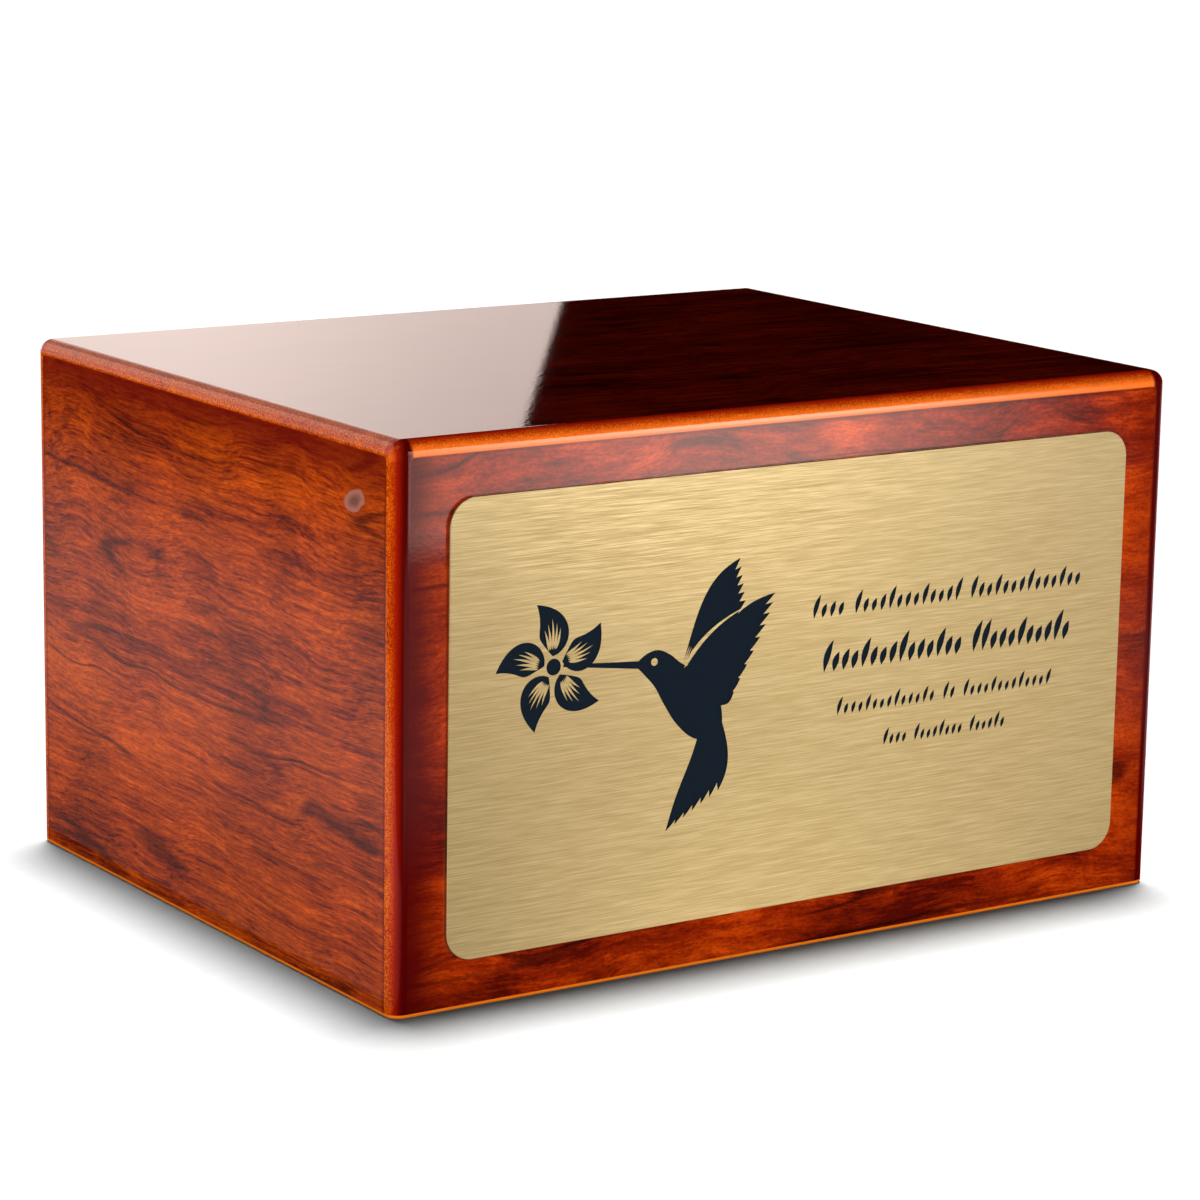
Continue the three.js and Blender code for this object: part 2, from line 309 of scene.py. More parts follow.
LINE_SPAN = (0.01, 0.1, 1, 0)
GAP_SPAN = (0.42, 0.58, 0, 0.72)
MARK_SPAN = (0.66, 0.8, 0, 0.3)
SHIMMER_SPAN = (0.3, 0.7, 0.9, 1.1)
PORE_SPAN = (0.3, 0.7, 0.8, 1.2)


def wood_colour(graph, place, axis, seed, shades, grain):
    """Veneer whose grain runs along X or Y: figure, patches, streaks, fibres and dark lines."""

    def noise(where, kind, step, **settings):
        along, across = grain[kind]
        size = [along if index == axis else across for index in range(3)]
        return graph.noise(where, size, seed + step, **settings)

    across_grain = [0 if index == axis else 1 for index in range(3)]
    sway = graph.math("SUBTRACT", noise(place, "sway", 0), 0.5)
    shift = graph.triple(graph.math("MULTIPLY", sway, grain["reach"] * MM))
    wavy = graph.vector("ADD", place, graph.vector("MULTIPLY", shift, across_grain))

    tone = 0.0
    for step, (kind, share) in enumerate(grain["shares"].items(), start=1):
        layer = noise(wavy, kind, step, **LAYER_DETAIL)
        tone = graph.math("MULTIPLY_ADD", layer, share, tone)
    base = graph.ramp(tone, *((stop, shades[name]) for name, stop in TONE_STOPS.items()))

    contour = graph.math("MULTIPLY", noise(wavy, "lines", 5, detail=1), LINES_PER_FEATURE)
    from_line = graph.math("ABSOLUTE", graph.math("SUBTRACT", graph.math("FRACT", contour), 0.5))
    line = graph.span(from_line, *LINE_SPAN)
    shown = graph.span(noise(wavy, "gaps", 6), *GAP_SPAN)
    base = graph.blend(graph.math("MULTIPLY", line, shown), base, shades["line"])

    marks = graph.span(noise(wavy, "marks", 7, detail=2), *MARK_SPAN)
    base = graph.blend(marks, base, shades["line"])

    # Painted sheen: broad lighter and darker bands across the grain, as the wood's shimmer
    shimmer = graph.span(noise(place, "shimmer", 8, detail=1), *SHIMMER_SPAN)
    pores = graph.span(noise(wavy, "pores", 9, detail=1), *PORE_SPAN)
    return graph.vector("MULTIPLY", base, graph.triple(graph.math("MULTIPLY", shimmer, pores)))


def face_distances(graph, place):
    """How far a point lies inside the box's side faces, its front and back, and its top."""
    parts = graph.add("SeparateXYZ", {"Vector": graph.vector("SUBTRACT", place, BOX_CENTRE[:])})
    return {
        "side": graph.math("SUBTRACT", BOX_HALF.x, graph.math("ABSOLUTE", parts.outputs["X"])),
        "front": graph.math("SUBTRACT", BOX_HALF.y, graph.math("ABSOLUTE", parts.outputs["Y"])),
        "top": graph.math("SUBTRACT", BOX_HALF.z, parts.outputs["Z"]),
    }


def edge_distance(graph, inside):
    """The second smallest of the three: how far a point on the outside is from an edge."""
    side, front, top = inside["side"], inside["front"], inside["top"]
    first = graph.math("SMOOTH_MIN", side, front, BAND_ROUNDING)
    second = graph.math("SMOOTH_MIN", graph.math("MAXIMUM", side, front), top, BAND_ROUNDING)
    return graph.math("MAXIMUM", first, second)


def band_colour(graph, place, seed, inside):
    """Fibreboard under orange stain, with fine bright and dark specks.

    Painted shade darkens it where an upright band turns to the front, and where the front band turns up
    to the top. A painted highlight lightens the lower side of the front band."""
    specks = graph.round_noise(place, SPECK_SIZE, seed, detail=1, roughness=0.7)
    clouds = graph.round_noise(place, CLOUD_SIZE, seed + 1)
    stain = graph.ramp(graph.mingle(specks, clouds, CLOUD_SHARE), *BAND_SHADES)
    # Painted shade and a painted highlight laid over the stain, where the band turns from one face to
    # the next
    for from_face, to_face, reach, shade in PAINTED_TURN_LIGHT:
        offset = graph.math("SUBTRACT", inside[from_face], inside[to_face])
        near = graph.span(inside[from_face], BAND, BAND + THIN_DARKENING, PAINTED_TURN_DEPTH, 0)
        painted_turn = graph.math("MULTIPLY", graph.span(offset, *reach), near)
        stain = graph.blend(painted_turn, stain, shade)
    return stain, specks


def dark_rim(graph, edge, inside, place, on_side):
    """How much darker the veneer is made: a thin line by the band, and a soft zone below the top of a
    side, or beside the uprights of the front and back, the left one the most."""
    thin = graph.span(edge, BAND, BAND + THIN_DARKENING, THIN_DARKENING_SHARE, 0)
    if on_side:
        soft = graph.span(inside["top"], BAND, BAND + SIDE_DARKENING, SIDE_DARKENING_SHARE, 0)
    else:
        x = graph.part(place, "X")
        left, right = BOX_LOW.x + BAND, BOX_HIGH.x - BAND
        shares = FRONT_DARKENING_SHARES
        soft = graph.math("ADD", graph.span(x, left, left + FRONT_DARKENING, shares["left"], 0),
                          graph.span(x, right - FRONT_DARKENING, right, 0, shares["right"]))
    return graph.math("MAXIMUM", thin, soft)


def filled_nail_hole(graph, place, wood):
    """A greyish oval of filler, level with the veneer."""
    parts = graph.add("SeparateXYZ", {"Vector": place})
    across = graph.math("SUBTRACT", parts.outputs["Y"], NAIL_HOLE["y"])
    up = graph.math("SUBTRACT", parts.outputs["Z"], NAIL_HOLE["z"])
    up = graph.math("MULTIPLY_ADD", across, NAIL_HOLE["tilt"], up)
    reach = graph.math("SQRT", graph.math(
        "ADD",
        graph.math("POWER", graph.math("DIVIDE", across, NAIL_HOLE["length"] / 2), 2),
        graph.math("POWER", graph.math("DIVIDE", up, NAIL_HOLE["height"] / 2), 2),
    ))
    ragged = graph.round_noise(place, NAIL_HOLE["ragged_size"], 91, detail=3)
    inner = graph.math("SUBTRACT", reach, NAIL_HOLE["ragged"] / 2)
    reach = graph.math("MULTIPLY_ADD", ragged, NAIL_HOLE["ragged"], inner)
    return graph.blend(graph.span(reach, *FILLER_SPAN), wood, graph.ramp(reach, *FILLER_SHADES))


def veneered_board(name, axis, seed, shades, grain, rim=True, nail_hole=False):
    """Veneer along one axis, stained edges and foot, and gloss lacquer with a fine ripple."""
    made, graph, shader = material(name)
    place = object_place(graph)
    wood = wood_colour(graph, place, axis, seed, shades, grain)
    inside = face_distances(graph, place)
    edge = edge_distance(graph, inside)
    band, specks = band_colour(graph, place, seed + BAND_SEED, inside)
    if rim:
        darkened = dark_rim(graph, edge, inside, place, on_side=axis == 1)
        wood = graph.blend(darkened, wood, shades["darkened"])
    if nail_hole:
        wood = filled_nail_hole(graph, place, wood)

    on_foot = graph.span(graph.part(place, "Z"), *FOOT_SPAN)
    stained = graph.math("MAXIMUM", graph.span(edge, *BAND_SPAN), on_foot)
    band = graph.blend(on_foot, band, FOOT_SHADE)
    graph.feed(shader.inputs["Base Color"], graph.blend(stained, wood, band))

    texture = graph.math("MULTIPLY", specks, stained)
    graph.feed(shader.inputs["Normal"], graph.bump(texture, 0.25, 0.25))
    ripple = graph.round_noise(place, RIPPLE_SIZE, seed + RIPPLE_SEED, detail=1)
    lacquer = graph.math("MULTIPLY_ADD", ripple, RIPPLE_SHARE, texture)
    graph.feed(shader.inputs["Coat Normal"], graph.bump(lacquer, 0.1, 0.1))
    shader.inputs["Roughness"].default_value = 0.6
    shader.inputs["Specular IOR Level"].default_value = 0.0
    shader.inputs["Coat Weight"].default_value = 1.0
    shader.inputs["Coat Roughness"].default_value = 0.03
    shader.inputs["Coat IOR"].default_value = 1.5
    return made


def bare_board(name, dark, light):
    """Stained fibreboard without lacquer, for cut edges, inner faces and the base panel."""
    made, graph, shader = material(name)
    place = object_place(graph)
    specks = graph.round_noise(place, 0.7, 71, detail=3, roughness=0.7)
    clouds = graph.round_noise(place, 25, 72)
    tone = graph.mingle(specks, clouds, 0.4)
    graph.feed(shader.inputs["Base Color"], graph.ramp(tone, (0.35, dark), (0.65, light)))
    graph.feed(shader.inputs["Roughness"], graph.span(specks, 0.3, 0.7, 0.62, 0.82))
    graph.feed(shader.inputs["Normal"], graph.bump(specks, 0.3, 0.2))
    return made


# Boards

FACES = {
    "left_wall": (0, BOX_LOW.x, 1),
    "right_wall": (0, BOX_HIGH.x, -1),
    "front_wall": (1, BOX_LOW.y, 1),
    "back_wall": (1, BOX_HIGH.y, -1),
    "top_panel": (2, BOX_HIGH.z, -1),
}


def outer_form():
    """The box as one solid, with rounded top and upright edges and a fine chamfer at the foot."""
    form = bmesh.new()
    size = Matrix.Diagonal((*(BOX_HALF * 2), 1))
    bmesh.ops.create_cube(form, size=1, matrix=Matrix.Translation(BOX_CENTRE) @ size)

    def at_foot(edge):
        return all(vertex.co.z < BOX_LOW.z + FOOT_CHAMFER / 2 for vertex in edge.verts)

    rounded = [edge for edge in form.edges if not at_foot(edge)]
    bmesh.ops.bevel(form, geom=rounded, offset=EDGE_RADIUS, segments=EDGE_STEPS,
                    profile=0.5, affect="EDGES")
    foot = [edge for edge in form.edges if at_foot(edge)]
    bmesh.ops.bevel(form, geom=foot, offset=FOOT_CHAMFER, segments=FOOT_STEPS,
                    profile=0.5, affect="EDGES")
    return form


def keep_side(form, point, outward):
    """Cuts away what lies on the outward side of a plane, and closes the cut."""
    geometry = form.verts[:] + form.edges[:] + form.faces[:]
    cut = bmesh.ops.bisect_plane(form, geom=geometry, plane_co=point, plane_no=outward,
                                 clear_outer=True)
    rim = [item for item in cut["geom_cut"] if isinstance(item, bmesh.types.BMEdge)]
    bmesh.ops.contextual_create(form, geom=rim)


def inward(face):
    axis, _, sign = FACES[face]
    direction = Vector((0, 0, 0))
    direction[axis] = sign
    return direction


def face_point(*faces):
    """A point that lies in the planes of all the named faces."""
    point = BOX_CENTRE.copy()
    for face in faces:
        axis, place, _ = FACES[face]
        point[axis] = place
    return point


def mitred_board(face):
    """The part of the box nearest to one face, down to the wall's thickness."""
    form = outer_form()
    for other in FACES:
        if FACES[other][0] != FACES[face][0]:
            keep_side(form, face_point(face, other), inward(face) - inward(other))
    keep_side(form, face_point(face) + inward(face) * WALL, inward(face))
    return form


def new_piece(name, form):
    bmesh.ops.recalc_face_normals(form, faces=form.faces)
    mesh = bpy.data.meshes.new(name)
    form.to_mesh(mesh)
    form.free()
    piece = bpy.data.objects.new(name, mesh)
    scene.collection.objects.link(piece)
    return piece


def block(low, high):
    form = bmesh.new()
    size = Matrix.Diagonal((*(high - low), 1))
    bmesh.ops.create_cube(form, size=1, matrix=Matrix.Translation((low + high) / 2) @ size)
    return form


def shank_radius(screw):
    """Half the width of a screw above the base panel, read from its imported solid."""
    low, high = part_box(screw)
    middle = (low.x + high.x) / 2
    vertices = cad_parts[screw].data.vertices
    return max(vertex.co.x - middle for vertex in vertices if vertex.co.z > BASE_BOX[1].z)


def screw_hole(screw):
    """A round hole for a screw's shank, from under the base to the tip."""
    low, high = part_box(screw)
    radius = shank_radius(screw) + SCREW_HOLE_FIT
    form = bmesh.new()
    bmesh.ops.create_cone(form, cap_ends=True, segments=SCREW_HOLE_SIDES, radius1=radius,
                          radius2=radius, depth=high.z - low.z + 2 * SCREW_HOLE_FIT,
                          matrix=Matrix.Translation((low + high) / 2))
    return form


def cut_away(piece, cutter_form):
    """Takes one solid out of another."""
    cutter = new_piece("cutter", cutter_form)
    modifier = piece.modifiers.new("cut", "BOOLEAN")
    modifier.operation = "DIFFERENCE"
    modifier.solver = "EXACT"
    modifier.object = cutter
    bpy.context.view_layer.update()
    solved = piece.evaluated_get(bpy.context.evaluated_depsgraph_get())
    mesh = bpy.data.meshes.new_from_object(solved)
    piece.modifiers.clear()
    old = piece.data
    piece.data = mesh
    mesh.name = piece.name
    bpy.data.meshes.remove(old)
    bpy.data.objects.remove(cutter)


def shows(polygon):
    """Whether a face is on the lacquered outside, and not cut, inner or under the box."""
    depths = [
        (polygon.center[axis] - place) * sign for axis, place, sign in FACES.values()
    ]
    faces_down = polygon.normal.z < -0.9
    return min(depths) < EDGE_RADIUS / 3 and not faces_down


def finish_board(piece, lacquered, bare):
    mesh = piece.data
    mesh.materials.clear()
    mesh.materials.append(lacquered)
    mesh.materials.append(bare)
    for polygon in mesh.polygons:
        polygon.material_index = 0 if shows(polygon) else 1
        polygon.use_smooth = True
    mesh.set_sharp_from_angle(angle=SHARP_ANGLE)
    shading = piece.modifiers.new("shading", "WEIGHTED_NORMAL")
    shading.weight = 100
    shading.keep_sharp = True


# Each board's veneer. The grain runs along X on axis 0, and along Y on axis 1.
VENEERS = {
    "left_wall": {
        "name": "veneer_left", "axis": 1, "seed": 3, "shades": SIDE_SHADES,
        "grain": STRAIGHT_GRAIN, "nail_hole": True,
    },
    "right_wall": {
        "name": "veneer_right", "axis": 1, "seed": 29, "shades": SIDE_SHADES,
        "grain": STRAIGHT_GRAIN,
    },
    "front_wall": {
        "name": "veneer_front", "axis": 0, "seed": 47, "shades": FRONT_SHADES,
        "grain": SWIRLED_GRAIN,
    },
    "back_wall": {
        "name": "veneer_back", "axis": 0, "seed": 61, "shades": FRONT_SHADES,
        "grain": SWIRLED_GRAIN,
    },
    "top_panel": {
        "name": "veneer_top", "axis": 0, "seed": 83, "shades": TOP_SHADES_PAINTED_DARK,
        "grain": STRAIGHT_GRAIN, "rim": False,
    },
}


def make_boards():
    """The five boards, with a pocket for the base panel and holes for its screws."""
    bare = bare_board("bare_board", colour(96, 40, 22), colour(140, 72, 42))
    clearance = Vector((BASE_CLEARANCE,) * 3)
    pocket_low = BASE_BOX[0] - clearance
    pocket_high = Vector((BASE_BOX[1].x, BASE_BOX[1].y, BASE_BOX[1].z - BASE_CLEARANCE)) + clearance
    for face, veneer in VENEERS.items():
        board = new_piece(face + "_board", mitred_board(face))
        if face != "top_panel":
            cut_away(board, block(pocket_low, pocket_high))
        for screw in screws_in(face):
            cut_away(board, screw_hole(screw))
        finish_board(board, veneered_board(**veneer), bare)
        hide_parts(face)
        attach(board, "root")


def screws_in(face):
    side = {"front_wall": "base_screw_front_", "back_wall": "base_screw_back_"}.get(face)
    return [name for name in sorted(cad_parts) if side and name.startswith(side)]


# Engraving, drawn on the plate's face in millimetres: x to the right, y up, from its centre

BIRD_BODY = [
    (-49, 10.4), (-46.5, 12.6), (-43, 13.4), (-39.5, 12), (-36, 9.4), (-30, 6), (-25.5, 1),
    (-23.8, -5), (-24.6, -10.5), (-28, -10.6), (-33, -9), (-37.5, -5), (-41, 0),
    (-43.8, 4.6), (-47.2, 8.2),
]
BODY_STEPS = 8
WING_SHOULDER = [
    (-34.8, 6.4), (-32.8, 11), (-29, 14.4), (-24.4, 16.2), (-21, 11.4), (-22.4, 3.6),
    (-26, -1.6), (-31, 1.5),
]
BEAK = [(-47.5, 11.2), (-69.6, 12.9), (-69.8, 12.3), (-47.5, 9.3)]
BIRD_EYE = {"centre": (-43.9, 10.6), "radius": 0.95, "sides": 20}
FEATHER = {"steps": 16, "fullness": 1.7}
FAR_WING = {
    "roots": ((-35.6, 9.4), (-33.8, 8.6)), "tips": ((-19.4, 33.4), (-17.6, 22.8)),
    "count": 6, "half_width": 2.1, "bow": 0.13, "swell": 0,
}
NEAR_WING = {
    "roots": ((-34.2, 5.2), (-27.6, -3.2)), "tips": ((-8.8, 23.8), (-20.5, 0.6)),
    "count": 9, "half_width": 1.9, "bow": 0.1, "swell": 0.1,
}
TAIL = {
    "roots": ((-29.6, -2), (-25.8, -1)), "tips": ((-39.8, -31.6), (-24.6, -23.4)),
    "count": 7, "half_width": 1.8, "bow": 0.14, "swell": 0,
}
WING_PARTING = {
    "start": (-35.2, 8.2), "bend": (-29.5, 17.5), "end": (-16.5, 21.6),
    "half_width": 0.55, "steps": 16, "fullness": 0.5,
}
FLOWER_CENTRE = (-72.4, 12.6)
FLOWER_EYE = {"centre": FLOWER_CENTRE, "radius": 2, "sides": 32}
PETALS = 5
FIRST_PETAL = 0.42
PETAL = {"half_width": 4.1, "steps": 20, "fullness": 0.78}
PETAL_REACH = {"start": 2.6, "bend": 10, "bend_turn": -0.3, "end": 16, "end_turn": 0.2}
VEIN = {"half_width": 0.34, "steps": 8, "fullness": 0.6}
VEIN_REACH = {
    "places": (-2, -1, 0, 1, 2), "start": 4.2, "end": 11.6, "shortening": 1.1,
    "root_turn": 0.11, "tip_turn": 0.12, "lead": -0.06, "bow": -0.08,
}

# Four rows of leaning strokes, to the right of the picture. They are no letters.
ROWS = [
    {"left": 3, "right": 86, "base": 16, "tall": 5.9, "words": (4, 13, 14)},
    {"left": 6.5, "right": 82.5, "base": 2.2, "tall": 8, "words": (15, 11)},
    {"left": 11, "right": 77.5, "base": -9, "tall": 4.6, "words": (14, 2, 13)},
    {"left": 25.7, "right": 63, "base": -18.4, "tall": 4.4, "words": (4, 8, 6)},
]
STROKE = {"steps": 10, "fullness": 1}
STROKE_LEAN = 0.34
STROKE_BOW = 0.12
STROKE_HALF_WIDTH = 0.12
STROKE_HEIGHTS = (1, 0.6, 0.66, 0.58, 0.92, 0.62, 0.56, 0.7)
WORD_GAP = 0.9


def polar(centre, radius, angle):
    return (centre[0] + radius * math.cos(angle), centre[1] + radius * math.sin(angle))


def mix(start, end, share):
    return tuple(a + (b - a) * share for a, b in zip(start, end))


def between(start, end, bow):
    """The middle between two points, moved sideways by a share of their distance."""
    x, y = mix(start, end, 0.5)
    return (x - (end[1] - start[1]) * bow, y + (end[0] - start[0]) * bow)


def blade(start, bend, end, half_width, steps, fullness):
    """A closed outline along a bent centre line, whose half width swells and closes again."""
    left, right = [], []
    for step in range(1, steps):
        share = step / steps
        x, y = mix(mix(start, bend, share), mix(bend, end, share), share)
        heading = Vector(mix(bend, end, share)) - Vector(mix(start, bend, share))
        heading.normalize()
        half = half_width * math.sin(math.pi * share ** fullness)
        left.append((x - heading.y * half, y + heading.x * half))
        right.append((x + heading.y * half, y - heading.x * half))
    return [tuple(start), *right, tuple(end), *reversed(left)]


def disc(centre, radius, sides):
    return [polar(centre, radius, math.tau * side / sides) for side in range(sides)]


def smooth_outline(points, steps):
    """A closed Catmull-Rom curve through the points."""
    outline = []
    for index, start in enumerate(points):
        before, end = points[index - 1], points[(index + 1) % len(points)]
        after = points[(index + 2) % len(points)]
        for step in range(steps):
            t = step / steps
            outline.append(tuple(
                0.5 * (2 * b + (c - a) * t + (2 * a - 5 * b + 4 * c - d) * t ** 2
                       + (3 * b - a - 3 * c + d) * t ** 3)
                for a, b, c, d in zip(before, start, end, after)
            ))
    return outline


def fan(roots, tips, count, half_width, bow, swell):
    """Feathers that fan out from a line of roots to a line of tips."""
    feathers = []
    for index in range(count):
        share = index / (count - 1)
        root = mix(*roots, share)
        tip = mix(root, mix(*tips, share), 1 + swell * math.sin(math.pi * share))
        feathers.append(blade(root, between(root, tip, bow), tip, half_width, **FEATHER))
    return feathers


def petal(angle):
    return blade(
        polar(FLOWER_CENTRE, PETAL_REACH["start"], angle),
        polar(FLOWER_CENTRE, PETAL_REACH["bend"], angle + PETAL_REACH["bend_turn"]),
        polar(FLOWER_CENTRE, PETAL_REACH["end"], angle + PETAL_REACH["end_turn"]),
        **PETAL,
    )


def petal_veins(angle):
    veins = []
    for place in VEIN_REACH["places"]:
        reach = VEIN_REACH["end"] - VEIN_REACH["shortening"] * abs(place)
        root = polar(FLOWER_CENTRE, VEIN_REACH["start"], angle + place * VEIN_REACH["root_turn"])
        tip = polar(FLOWER_CENTRE, reach,
                    angle + VEIN_REACH["lead"] + place * VEIN_REACH["tip_turn"])
        veins.append(blade(root, between(root, tip, VEIN_REACH["bow"]), tip, **VEIN))
    return veins


def stroke_row(left, right, base, tall, words):
    """Each word starts with a tall stroke, and the rest take their heights in turn."""
    pitch = (right - left) / (sum(words) - 1 + WORD_GAP * (len(words) - 1))
    strokes = []
    x = left
    for word in words:
        for index in range(word):
            turn = 0 if index == 0 else len(strokes) % len(STROKE_HEIGHTS)
            height = tall * STROKE_HEIGHTS[turn]
            foot, head = (x, base), (x + height * STROKE_LEAN, base + height)
            strokes.append(blade(foot, between(foot, head, STROKE_BOW), head,
                                 tall * STROKE_HALF_WIDTH, **STROKE))
            x += pitch
        x += pitch * WORD_GAP
    return strokes


def engraving():
    """The outlines that are cut into the plate, and those left standing inside them."""
    angles = [FIRST_PETAL + math.tau * index / PETALS for index in range(PETALS)]
    cut = [smooth_outline(BIRD_BODY, BODY_STEPS), smooth_outline(WING_SHOULDER, BODY_STEPS), BEAK]
    for feathers in (FAR_WING, NEAR_WING, TAIL):
        cut += fan(**feathers)
    cut += [petal(angle) for angle in angles]
    for row in ROWS:
        cut += stroke_row(**row)
    standing = [disc(**BIRD_EYE), blade(**WING_PARTING)]
    for angle in angles:
        standing += petal_veins(angle)
    return cut, standing, [disc(**FLOWER_EYE)]


# Nameplate

PLATE_CORNER = 7
PLATE_CORNER_STEPS = 16
PLATE_EASE = 0.15
ENGRAVING_DEPTH = 0.2
TRIANGLES_INSIDE = 1
MERGE_DISTANCE = 1e-5
PLATE_WIDTH = (PLATE_BOX[1].x - PLATE_BOX[0].x) / MM
PLATE_HEIGHT = (PLATE_BOX[1].z - PLATE_BOX[0].z) / MM
PLATE_THICKNESS = (PLATE_BOX[1].y - PLATE_BOX[0].y) / MM

# Brushed lines, as long in x, y and z as this, in millimetres
FINE_BRUSHING = (11, 1, 0.22)
BROAD_BRUSHING = (90, 1, 0.5)
BROAD_SHARE = 0.1
PLATE_SHADES = ((0.34, colour(207, 175, 115)), (0.5, colour(221, 190, 130)),
                (0.66, colour(235, 206, 148)))
INK_SHADES = ((0.3, colour(10, 19, 28)), (0.7, colour(14, 25, 34)))


def soft_rectangle(inset):
    """The plate's outline, moved inwards by inset."""
    outline = []
    radius = PLATE_CORNER - inset
    for quarter, (side, end) in enumerate(((1, 1), (-1, 1), (-1, -1), (1, -1))):
        centre = (side * (PLATE_WIDTH / 2 - PLATE_CORNER), end * (PLATE_HEIGHT / 2 - PLATE_CORNER))
        for step in range(PLATE_CORNER_STEPS + 1):
            angle = (quarter + step / PLATE_CORNER_STEPS) * math.pi / 2
            outline.append(polar(centre, radius, angle))
    return outline


def turned_left(outline):
    """The outline with its points in counter-clockwise order."""
    ends = outline[1:] + outline[:1]
    twice_area = sum(x * next_y - next_x * y for (x, y), (next_x, next_y) in zip(outline, ends))
    return outline if twice_area > 0 else outline[::-1]


def engraved_face(rim):
    """The plate's face as triangles, each marked as cut or not, and the rim's new places."""
    cut, standing, on_top = engraving()
    outlines = [turned_left(outline) for outline in (rim, *cut, *standing, *on_top)]
    points = [Vector(point) for outline in outlines for point in outline]
    loops, start = [], 0
    for outline in outlines:
        loops.append(list(range(start, start + len(outline))))
        start += len(outline)
    corners, _, triangles, sources, _, owners = delaunay_2d_cdt(
        points, [], loops, TRIANGLES_INSIDE, MERGE_DISTANCE)
    first_standing = 1 + len(cut)
    first_on_top = first_standing + len(standing)

    def is_cut(owner):
        inked = any(0 < index < first_standing for index in owner)
        spared = any(first_standing <= index < first_on_top for index in owner)
        topped = any(index >= first_on_top for index in owner)
        return topped or (inked and not spared)

    marks = [is_cut(owner) for owner in owners]
    moved = {source: index for index, group in enumerate(sources) for source in group}
    return corners, triangles, marks, [moved[index] for index in range(len(rim))]


def plate_form():
    """The plate with its engraving sunk into the face. Cut faces get the second material."""
    rim = soft_rectangle(PLATE_EASE)
    corners, triangles, marks, rim_places = engraved_face(rim)
    form = bmesh.new()
    front, centre = PLATE_BOX[0].y, (PLATE_BOX[0] + PLATE_BOX[1]) / 2

    def vertex(point, depth):
        return form.verts.new((centre.x + point[0] * MM, front + depth * MM,
                               centre.z + point[1] * MM))

    levels = ({}, {})

    def placed(index, sunk):
        if index not in levels[sunk]:
            levels[sunk][index] = vertex(corners[index], ENGRAVING_DEPTH if sunk else 0)
        return levels[sunk][index]

    # A wall stands on each edge that a sunk triangle shares with one that isn't sunk
    directed = {}
    for triangle, sunk in zip(triangles, marks):
        face = form.faces.new([placed(index, sunk) for index in triangle])
        face.material_index = int(sunk)
        for step, index in enumerate(triangle):
            directed[(index, triangle[(step + 1) % 3])] = sunk
    for (first, second), sunk in directed.items():
        if sunk and directed.get((second, first)) is False:
            wall = form.faces.new([placed(first, True), placed(second, True),
                                   placed(second, False), placed(first, False)])
            wall.material_index = 1

    inner = [placed(index, False) for index in rim_places]
    outline = soft_rectangle(0)
    middle = [vertex(point, PLATE_EASE) for point in outline]
    back = [vertex(point, PLATE_THICKNESS) for point in outline]
    for near, far in ((inner, middle), (middle, back)):
        for index in range(len(near)):
            following = (index + 1) % len(near)
            form.faces.new([near[index], near[following], far[following], far[index]])
    form.faces.new(back)
    return form


def brushed_plate():
    """Pale gold metal, brushed along X."""
    made, graph, shader = material("brushed_plate")
    place = object_place(graph)
    fine = graph.noise(place, FINE_BRUSHING, 5, detail=2, roughness=0.65)
    broad = graph.noise(place, BROAD_BRUSHING, 6)
    tone = graph.mingle(fine, broad, BROAD_SHARE)
    graph.feed(shader.inputs["Base Color"], graph.ramp(tone, *PLATE_SHADES))
    graph.feed(shader.inputs["Roughness"], graph.span(fine, 0.3, 0.7, 0.36, 0.28))
    graph.feed(shader.inputs["Normal"], graph.bump(tone, 0.2, 0.012))
    shader.inputs["Metallic"].default_value = 1.0
    shader.inputs["Anisotropic"].default_value = 0.5
    return made


def engraving_ink():
    """The dark filling of the engraving."""
    made, graph, shader = material("engraving_ink")
    specks = graph.round_noise(object_place(graph), 0.6, 9)
    graph.feed(shader.inputs["Base Color"], graph.ramp(specks, *INK_SHADES))
    graph.feed(shader.inputs["Roughness"], graph.span(specks, 0.3, 0.7, 0.5, 0.62))
    shader.inputs["Specular IOR Level"].default_value = 0.05
    return made


def make_nameplate():
    plate = new_piece("nameplate_engraved", plate_form())
    plate.data.materials.append(brushed_plate())
    plate.data.materials.append(engraving_ink())
    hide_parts("nameplate")
    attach(plate, "root")


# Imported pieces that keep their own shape

def zinc():
    made, graph, shader = material("zinc_plating")
    clouds = graph.round_noise(object_place(graph), 1.8, 33, detail=3)
    graph.feed(shader.inputs["Base Color"], graph.ramp(
        clouds, (0.35, colour(176, 176, 170)), (0.65, colour(214, 214, 208))))
    graph.feed(shader.inputs["Roughness"], graph.span(clouds, 0.3, 0.7, 0.32, 0.48))
    shader.inputs["Metallic"].default_value = 1.0
    return made


def dress_node(name, finish):
    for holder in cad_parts[name].material_slots:
        holder.material = finish


def dress_underside():
    dress_node("base_panel", bare_board("base_board", colour(70, 30, 18), colour(104, 52, 32)))
    plating = zinc()
    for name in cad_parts:
        if name.startswith("base_screw_"):
            dress_node(name, plating)


# Studio, in metres

WHITE = (1, 1, 1, 1)
FLOOR_REACH = 6
FLOOR_SHADES = ((0.3, (0.88, 0.88, 0.88, 1)), (0.7, (0.9, 0.9, 0.9, 1)))
BACKDROP_RADIUS = 9
BACKDROP_STRENGTH = 1.05
WORLD_STRENGTH = 0.06

# The floor's light, how wide it looks, and how far it leans from the upright, in degrees
FLOOR_LIGHT = {"energy": 3.8, "width": 12.5, "lean_x": 4.3, "lean_y": 5.8}

